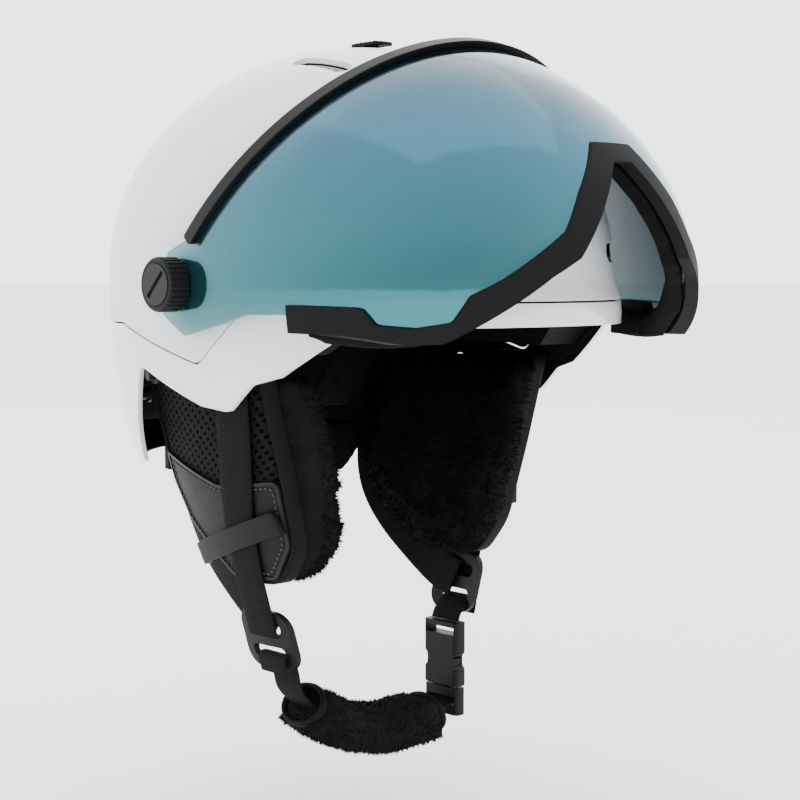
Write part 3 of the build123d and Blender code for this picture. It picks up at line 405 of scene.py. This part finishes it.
# ---------------------------------------------------------------- comfort liner, brow pad, neck roll
# Padded knit that touches the head: loose liner pads, a brow pad and a stuffed roll at the nape.
# Each is foam in a sewn cover.
liner_knit = surface(finish("liner_knit", (0.0071, 0.0071, 0.0077), 0.9, Specular_IOR_Level=0.05),
                     knit, 620, 0.0003, ((0.0041, 0.0041, 0.0045), (0.0086, 0.0086, 0.0094)), (0.82, 0.98))
stuffed("comfort_liner", "liner_pads", 0.004, 0.0008, 2.0, 0.001, liner_knit, "helmet",
        levels=0)
stuffed("brow_pad", "brow_cushion", 0.0035, 0.0008, 3.0, 0.001, liner_knit, "helmet")
stuffed("neck_roll", "nape_cushion", 0.004, 0.0015, 4.0, 0.0018, liner_knit, "helmet")

# ---------------------------------------------------------------- ear flaps
# Each flap is a spacer-mesh pad edged with a bound tape, with a plush lining inside and a leather
# patch with piped edges outside. The flap snaps to the shell's rim and closes in towards the jaw.
ear_top = -0.022
ear_top_half = 0.104
ear_top_reach = 0.128
ear_lean = 0.29


def ear_point(y, z, inset, sign):
    """A point on the flap's leaning form, moved in by inset."""
    lean = ear_lean * (ear_top - z) + inset
    reach = ear_top_reach - lean
    return Vector((sign * (ear_top_half - lean) * math.sqrt(max(0.0, 1 - (y / reach) ** 2)), y, z))


def eased(points, closed=False, rounds=3):
    """A line of 2-D points with its corners cut round."""
    for _ in range(rounds):
        cut = [] if closed else [points[0]]
        for i in range(len(points) if closed else len(points) - 1):
            (a, b), (c, d) = points[i], points[(i + 1) % len(points)]
            cut += [(0.75 * a + 0.25 * c, 0.75 * b + 0.25 * d), (0.25 * a + 0.75 * c, 0.25 * b + 0.75 * d)]
        points = cut if closed else cut + [points[-1]]
    return points


def filleted(points, cut):
    """A closed line of 2-D points whose corners are rounded over a short cut of each side."""
    out = []
    corners = [Vector(point) for point in points]
    for i, corner in enumerate(corners):
        before = corners[i - 1] - corner
        after = corners[(i + 1) % len(corners)] - corner
        start = corner + before.normalized() * min(cut, before.length / 2.1)
        end = corner + after.normalized() * min(cut, after.length / 2.1)
        for k in range(7):
            t = k / 6
            out.append(start * (1 - t) ** 2 + corner * 2 * t * (1 - t) + end * t ** 2)
    return out


def spaced(points, step, closed=False):
    """The same line with points an even step apart."""
    line = [Vector(point) for point in points] + ([Vector(points[0])] if closed else [])
    total = sum((b - a).length for a, b in zip(line, line[1:]))
    count = max(2, round(total / step))
    out, walked, i = [], 0.0, 0
    for k in range(count if closed else count + 1):
        goal = total * k / count
        while i < len(line) - 2 and walked + (line[i + 1] - line[i]).length < goal:
            walked += (line[i + 1] - line[i]).length
            i += 1
        length = (line[i + 1] - line[i]).length
        out.append(line[i].lerp(line[i + 1], min(1.0, (goal - walked) / length)))
    return out


def tangents(line, closed=False):
    """The unit direction of a line at each of its points."""
    last = len(line) - 1
    out = []
    for i in range(len(line)):
        before = line[i - 1] if i or closed else line[0]
        after = line[(i + 1) % len(line)] if i < last or closed else line[last]
        out.append((after - before).normalized())
    return out


def profile(width, thick):
    """A strap's cross-section: flat faces and rounded selvedges."""
    w, h = width / 2, thick / 2
    top = [(w * k / 3, h) for k in (-2.4, -1.2, 0, 1.2, 2.4)]
    edge = [(w - 0.25 * h, 0.6 * h), (w, 0), (w - 0.25 * h, -0.6 * h)]
    return top + edge + [(-u, -v) for u, v in top] + [(-u, -v) for u, v in edge]


def turn_outward(piece):
    """Makes a new piece the only selected one and turns its faces outward."""
    select_only(piece)
    bpy.ops.object.mode_set(mode="EDIT")
    bpy.ops.mesh.select_all(action="SELECT")
    bpy.ops.mesh.normals_make_consistent(inside=False)
    bpy.ops.object.mode_set(mode="OBJECT")


def skin(name, rings, closed, material, body):
    """A swept piece through rings of points, capped at its ends unless it closes on itself."""
    size = len(rings[0])
    verts = [point for ring in rings for point in ring]
    spans = len(rings) if closed else len(rings) - 1
    faces = []
    for i in range(spans):
        a, b = i * size, (i + 1) % len(rings) * size
        faces += [(a + k, a + (k + 1) % size, b + (k + 1) % size, b + k) for k in range(size)]
    if not closed:
        faces += [tuple(range(size))[::-1], tuple(range((len(rings) - 1) * size, len(rings) * size))]
    mesh = bpy.data.meshes.new(name)
    mesh.from_pydata(verts, [], faces)
    piece = bpy.data.objects.new(name, mesh)
    bpy.context.collection.objects.link(piece)
    turn_outward(piece)
    mesh.materials.append(material)
    bpy.ops.object.shade_smooth_by_angle(angle=math.radians(50))
    if body:
        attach(piece, body)
    return piece


rib_step = 0.00035
rib_pitch = 0.0014


def on_flap(line, width, thick, inset, sign, closed=False, rib=0.0, edgewise=False):
    """Rings of a strap laid on the flap's form along a line of (y, z) points."""
    rings = []
    for i, (centre, along) in enumerate(zip(line, tangents(line, closed))):
        swell = 1 + rib * math.cos(2 * math.pi * i * rib_step / rib_pitch)
        ring = []
        for u, v in profile(width, thick):
            v = v * swell
            if edgewise:
                u, v = v, u
            ring.append(ear_point(centre.x - along.y * u, centre.y + along.x * u, inset - v, sign))
        rings.append(ring)
    return rings


stitch_length = 0.0019
stitch_thick = 0.00045


def sewn(name, line, inset, sign):
    """A row of raised thread stitches along a closed line of (y, z) points on the flap's form."""
    verts, faces = [], []
    for centre, along in zip(line, tangents(line, True)):
        base = len(verts)
        for reach, swell in ((-0.5, 0.35), (-0.3, 1.0), (0.3, 1.0), (0.5, 0.35)):
            for u, v in ((1, 0), (0, 1), (-1, 0), (0, -1)):
                y = centre.x + along.x * reach * stitch_length - along.y * u * swell * stitch_thick
                z = centre.y + along.y * reach * stitch_length + along.x * u * swell * stitch_thick
                verts.append(ear_point(y, z, inset - v * swell * stitch_thick, sign))
        for ring in range(3):
            for k in range(4):
                a, b = base + ring * 4 + k, base + ring * 4 + (k + 1) % 4
                faces.append((a, b, b + 4, a + 4))
        faces += [(base + 3, base + 2, base + 1, base), (base + 12, base + 13, base + 14, base + 15)]
    row = bpy.data.meshes.new(name)
    row.from_pydata(verts, [], faces)
    piece = bpy.data.objects.new(name, row)
    bpy.context.collection.objects.link(piece)
    turn_outward(piece)
    row.materials.append(thread_grey)
    bpy.ops.object.shade_smooth()
    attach(piece, "helmet")


PAD_OUTLINE = ((-0.043, -0.024), (0.049, -0.024), (0.049, -0.084), (0.038, -0.104), (0.004, -0.130),
               (-0.026, -0.128), (-0.039, -0.110), (-0.042, -0.070))
PATCH_OUTLINE = ((0.047, -0.070), (0.047, -0.084), (0.0365, -0.103), (0.003, -0.128), (-0.025, -0.126),
                 (-0.037, -0.109), (-0.039, -0.078), (0.0, -0.083))

# spacer mesh: slanted rows of long holes in a fine knit; the holes are sunk in the bump and darkened with
# painted shade
holes, holes_in, holes_out = new_group("spacer_mesh", [("Scale", 1.0)], ("Height", "Tone"))
turn = add_node(holes, "ShaderNodeMapping")
turn.inputs["Rotation"].default_value = (math.radians(28), 0, 0)
holes.links.new(holes_in.outputs["Place"], turn.inputs["Vector"])
rows = add_node(holes, "ShaderNodeTexWave", wave_type="BANDS", bands_direction="Z", Scale=105.0,
                Distortion=0.0)
columns = add_node(holes, "ShaderNodeTexWave", wave_type="BANDS", bands_direction="Y", Scale=62.0,
                   Distortion=0.0)
holes.links.new(turn.outputs["Vector"], rows.inputs["Vector"])
holes.links.new(turn.outputs["Vector"], columns.inputs["Vector"])
crossing = add_node(holes, "ShaderNodeMath", operation="MULTIPLY")
holes.links.new(rows.outputs["Fac"], crossing.inputs[0])
holes.links.new(columns.outputs["Fac"], crossing.inputs[1])
hole_depth_and_shade = add_node(holes, "ShaderNodeMapRange", From_Min=0.35, From_Max=0.6, To_Min=1.0, To_Max=0.0)
holes.links.new(crossing.outputs["Value"], hole_depth_and_shade.inputs["Value"])
holes.links.new(hole_depth_and_shade.outputs["Result"], holes_out.inputs["Height"])
holes.links.new(hole_depth_and_shade.outputs["Result"], holes_out.inputs["Tone"])
# the ramp's near-black end is painted shade inside the mesh's holes, where the same cloth lies deeper
mesh_cloth = surface(finish("spacer_mesh_cloth", (0.0038, 0.0038, 0.0041), 0.8, Specular_IOR_Level=0.05),
                     holes, 1, 0.0008, ((0.0004, 0.0004, 0.0004), (0.0048, 0.0048, 0.0051)), (0.95, 0.7))
plush_parts = finish("plush_pile", (0.0071, 0.0071, 0.0076), 0.95, Specular_IOR_Level=0.03)
plush = surface(plush_parts, knit, 420, 0.0006,
                ((0.0034, 0.0034, 0.0036), (0.0119, 0.0119, 0.0129)), (0.85, 1.0))
tape = surface(finish("binding_tape", (0.0043, 0.0043, 0.0045), 0.6, Specular_IOR_Level=0.04),
               knit, 1500, 0.0001,
               ((0.0045, 0.0045, 0.0049), (0.0082, 0.0082, 0.0088)), (0.5, 0.7))

# leather grain: pebbles of uneven size
pebble, pebble_in, pebble_out = new_group("leather_grain", [("Scale", 900.0)], ("Height", "Tone"))
pores = add_node(pebble, "ShaderNodeTexVoronoi", feature="SMOOTH_F1")
hide = add_node(pebble, "ShaderNodeTexNoise", Scale=70.0, Detail=6.0)
pebble.links.new(pebble_in.outputs["Scale"], pores.inputs["Scale"])
for part in (pores, hide):
    pebble.links.new(pebble_in.outputs["Place"], part.inputs["Vector"])
pebble.links.new(pores.outputs["Distance"], pebble_out.inputs["Height"])
pebble.links.new(hide.outputs["Fac"], pebble_out.inputs["Tone"])
leather = surface(finish("grey_leather", (0.0058, 0.0058, 0.0062), 0.5, Specular_IOR_Level=0.1),
                  pebble, 1100, 0.0001,
                  ((0.0029, 0.0029, 0.0031), (0.0064, 0.0064, 0.0068)), (0.42, 0.58), 0.0004)
piping_black = surface(finish("piping_black", (0.0068, 0.0068, 0.0071), 0.45, Specular_IOR_Level=0.15),
                       pebble, 1400, 0.00005,
                       ((0.0041, 0.0041, 0.0044), (0.0088, 0.0088, 0.0095)), (0.38, 0.52))
thread_grey = surface(finish("thread_grey", (0.05, 0.05, 0.052), 0.6, Specular_IOR_Level=0.2),
                      knit, 2500, 0.00005,
                      ((0.035, 0.035, 0.037), (0.06, 0.06, 0.063)), (0.5, 0.7))


def grow_pile(piece, free, count, length, seed, material):
    """Adds closed tufts of pile on a plush piece wherever the test says its face is free."""
    random.seed(seed)
    ground = piece.data
    bare = [face for face in ground.polygons if free(face)]
    verts = [vertex.co.copy() for vertex in ground.vertices]
    faces = [tuple(face.vertices) for face in ground.polygons]
    for _ in range(count):
        face = random.choice(bare)
        weights = [random.random() + 0.01 for _ in face.vertices]
        total = sum(weights)
        root = sum((ground.vertices[k].co * w for k, w in zip(face.vertices, weights)), Vector()) / total
        lean = Vector([random.uniform(-0.7, 0.7) for _ in range(3)])
        grow = (face.normal + lean + Vector((0, 0, -0.35))).normalized()
        cross = grow.orthogonal().normalized() * random.uniform(0.00035, 0.0006)
        other = grow.cross(cross)
        tip = root + grow * length * random.uniform(0.6, 1.0)
        base = len(verts)
        foot = root - face.normal * 0.0006
        verts += [foot + cross, foot - cross * 0.5 + other * 0.87, foot - cross * 0.5 - other * 0.87, tip]
        faces += [(base, base + 2, base + 1), (base, base + 1, base + 3), (base + 1, base + 2, base + 3),
                  (base + 2, base, base + 3)]
    pile = bpy.data.meshes.new(piece.name)
    pile.from_pydata(verts, [], faces)
    pile.materials.append(material)
    piece.data = pile
    select_only(piece)
    bpy.ops.object.shade_smooth_by_angle(angle=math.radians(40))


def leather_piece(node, name, bevel):
    """A cut leather piece: the CAD solid with its edges eased."""
    piece = copy_of(node, name)
    apply_modifier(piece, "BEVEL", width=bevel, segments=2, limit_method="ANGLE",
                   angle_limit=math.radians(40))
    piece.data.materials.append(leather)
    bpy.ops.object.shade_smooth_by_angle(angle=math.radians(40))
    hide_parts(node)
    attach(piece, "helmet")


flap_tufts = 7000
pile_length = 0.0030
seam_step = 0.0015
pad_corner = 0.0065
binding_width = 0.0094
binding_thick = 0.0022
binding_inset = 0.004
patch_corner = 0.0026
patch_middle = (0.004, -0.103)
piping_thick = 0.0019
piping_inset = -0.0006
stitch_corner = 0.003
stitch_pitch = 0.0030
stitch_inset = -0.0011
for side, sign in SIDES:
    stuffed(f"ear_pad_{side}", f"flap_pad_{side}", 0.003, 0.0009, 3.0, 0.001, mesh_cloth,
            "helmet")
    lining = stuffed(f"ear_lining_{side}", f"flap_plush_{side}", 0.004, 0.0008, 4.0, 0.002, plush,
                     "helmet", easing=26)
    grow_pile(lining, lambda face: face.normal.x * sign < 0.35, flap_tufts, pile_length, 7 + sign, plush)

    # the bound tape goes over the flap's free edge
    edge_line = spaced(filleted(PAD_OUTLINE, pad_corner), seam_step, closed=True)
    edge_rings = on_flap(edge_line, binding_width, binding_thick, binding_inset, sign, True, edgewise=True)
    skin(f"flap_binding_{side}", edge_rings, True, tape, "helmet")

    # the patch is edged with piping and sewn on inside it
    leather_piece(f"ear_patch_{side}", f"flap_patch_{side}", 0.00025)
    pipe_line = spaced(filleted(PATCH_OUTLINE, patch_corner), seam_step, closed=True)
    pipe_rings = on_flap(pipe_line, piping_thick, piping_thick, piping_inset, sign, True)
    skin(f"patch_piping_{side}", pipe_rings, True, piping_black, "helmet")
    middle_y, middle_z = patch_middle
    seam = [(middle_y + (y - middle_y) * 0.93, middle_z + (z - middle_z) * 0.90) for y, z in PATCH_OUTLINE]
    inner_line = spaced(filleted(seam, stitch_corner), stitch_pitch, closed=True)
    sewn(f"patch_stitches_{side}", inner_line, stitch_inset, sign)

    leather_piece(f"keeper_loop_{side}", f"strap_keeper_{side}", 0.00035)

snap_black = surface(finish("snap_black", (0.0102, 0.0102, 0.0109), 0.3, Specular_IOR_Level=0.2),
                     grain, 1500, 0.00002,
                     ((0.0075, 0.0075, 0.0082), (0.0136, 0.0136, 0.0146)), (0.25, 0.38), 0.0003)
wear_finish(snap_black, "ear_pad_snaps")

# ---------------------------------------------------------------- harness straps
# Ribbed nylon webbing 20 mm wide runs from the shell's rim down each flap to a divider ring.
# The ribs are woven across it, and its selvedges are rounded.
webbing_width = 0.020
webbing_thick = 0.0016
strap_middle = -0.0024
rear_middle = 0.0038
webbing_rib = 0.16
weave_parts = finish("ribbed_webbing", (0.0061, 0.0061, 0.0067), 0.7, Specular_IOR_Level=0.06)
webbing_cloth = surface(weave_parts, knit, 1900, 0.00014,
                        ((0.0037, 0.0037, 0.0041), (0.0082, 0.0082, 0.009)), (0.6, 0.8))
DIVIDER_Z = {"right": -0.159, "left": -0.147}
for side, sign in SIDES:
    foot = (-0.008, DIVIDER_Z[side] + 0.002)
    front_line = spaced(eased(((-0.028, -0.026), (-0.021, -0.060), (-0.008, -0.105), foot)), rib_step)
    front_rings = on_flap(front_line, webbing_width, webbing_thick, strap_middle, sign, rib=webbing_rib)
    front = skin(f"front_webbing_{side}", front_rings, False, webbing_cloth, "helmet")
    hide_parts(f"front_strap_{side}")
    rear_points = ((0.0625, -0.034), (0.061, -0.084), (0.045, -0.114), (0.010, -0.140), foot)
    rear_line = spaced(eased(rear_points), rib_step)
    rear_rings = on_flap(rear_line, webbing_width, webbing_thick, rear_middle, sign, rib=webbing_rib)
    rear = skin(f"rear_webbing_{side}", rear_rings, False, webbing_cloth, "helmet")
    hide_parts(f"rear_strap_{side}")
    wear_finish(nylon, f"divider_{side}")

black_zinc = surface(finish("black_zinc", (0.12, 0.12, 0.125), 0.35, Metallic=0.9), grain, 2200, 0.00002,
                     ((0.0336, 0.0336, 0.0357), (0.15, 0.15, 0.157)), (0.28, 0.42), 0.0003)
wear_finish(black_zinc, "strap_rivets", "rear_rivets", "fit_screws")

# ---------------------------------------------------------------- chin loop
# Webbing hangs from each divider: the right one runs into a stuffed chin pad, and the left one
# holds the female half of a side-release buckle whose male half is sewn to the chin webbing.
chin_y = -0.011
chin_tufts = 3600
chin_pile = 0.0022


def in_loop(line):
    """Rings of webbing whose width runs front to back along a line of (x, z) points."""
    rings = []
    for i, (centre, along) in enumerate(zip(line, tangents(line))):
        swell = 1 + webbing_rib * math.cos(2 * math.pi * i * rib_step / rib_pitch)
        rings.append([Vector((centre.x - along.y * v * swell, chin_y + u, centre.y + along.x * v * swell))
                      for u, v in profile(webbing_width, webbing_thick)])
    return rings


def divider_half(side):
    """How far from the middle plane a divider's own middle lies."""
    return ear_top_half - ear_lean * (ear_top - DIVIDER_Z[side]) + 0.0012 - 0.0017


def through_slot(side, sign):
    """The turn of webbing that wraps the divider's lower bar, as (x, z) points from its tail."""
    drop = DIVIDER_Z[side]
    turn_points = ((-0.0160, 0.0034), (-0.0085, 0.0034), (-0.0062, 0.0), (-0.0085, -0.0034),
                   (-0.0160, -0.0036))
    return [(sign * (divider_half(side) + ear_lean * dz + out), drop + dz) for dz, out in turn_points]


right_points = through_slot("right", -1) + [(-0.0534, -0.186), (-0.0455, -0.1934), (-0.034, -0.2012)]
right_line = spaced(eased(right_points), rib_step)
right_strap = skin("chin_webbing_right", in_loop(right_line), False, webbing_cloth, None)
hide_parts("chin_strap_right")
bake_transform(right_strap)

left_points = through_slot("left", 1)[:4] + [(0.0560, -0.1608), (0.054, -0.1656)]
left_line = spaced(eased(left_points), rib_step)
left_strap = skin("chin_webbing_left", in_loop(left_line), False, webbing_cloth, "helmet")
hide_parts("chin_strap_left")

chin_points = ((0.057, -0.2082), (0.045, -0.2094), (0.034, -0.2146), (0.006, -0.216), (-0.022, -0.209),
               (-0.0436, -0.1948))
chin_line = spaced(eased(chin_points), rib_step)
chin_piece = skin("chin_webbing_buckle", in_loop(chin_line), False, webbing_cloth,
                  "chin_loop_end")
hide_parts("chin_webbing")
chin_cushion = stuffed("chin_pad", "chin_cushion", 0.0035, 0.0, 4.0, 0.0012, plush,
                       "chin_loop_end", easing=2)
grow_pile(chin_cushion, lambda face: True, chin_tufts, chin_pile, 11, plush)
# each mouth of the sleeve is bound with a rolled hem
hem_spans = 44
hem_sides = 8
hem_thick = 0.0016
hem_deep = 0.0020
mouth_height = 0.0100
mouth_depth = 0.0138
HEMS = (("right", (-0.0440, -0.1945), (0.835, -0.55)), ("left", (0.0390, -0.2136), (0.98, 0.19)))
for side, mouth, along in HEMS:
    rings = []
    for k in range(hem_spans):
        turned = 2 * math.pi * k / hem_spans
        out_x, out_z = -along[1] * math.cos(turned), along[0] * math.cos(turned)
        out_y = math.sin(turned)
        ring = []
        for j in range(hem_sides):
            round_about = 2 * math.pi * j / hem_sides
            far = hem_thick * math.cos(round_about)
            down = hem_deep * math.sin(round_about)
            ring.append(Vector((mouth[0] + out_x * (mouth_height + far) + along[0] * down,
                                chin_y + out_y * (mouth_depth + far),
                                mouth[1] + out_z * (mouth_height + far) + along[1] * down)))
        rings.append(ring)
    skin(f"chin_hem_{side}", rings, True, tape, "chin_loop_end")

wear_finish(nylon, "buckle_female", "buckle_male", "buckle_prong_front", "buckle_prong_rear")

# ---------------------------------------------------------------- rear fit adjuster
# At the nape a dial turns a small gear that draws two toothed arms together round the head.
# Housing, cover, dial and arms are moulded nylon, and two screws close them.
fit_black = surface(finish("fit_black", (0.0075, 0.0075, 0.008), 0.5, Specular_IOR_Level=0.08),
                    grain, 1300, 0.00005,
                    ((0.0053, 0.0053, 0.0057), (0.0092, 0.0092, 0.0099)), (0.42, 0.58), 0.0004)
wear_finish(fit_black, "fit_housing", "fit_cover", "fit_dial", "fit_pinion", "fit_arm_left", "fit_arm_right")
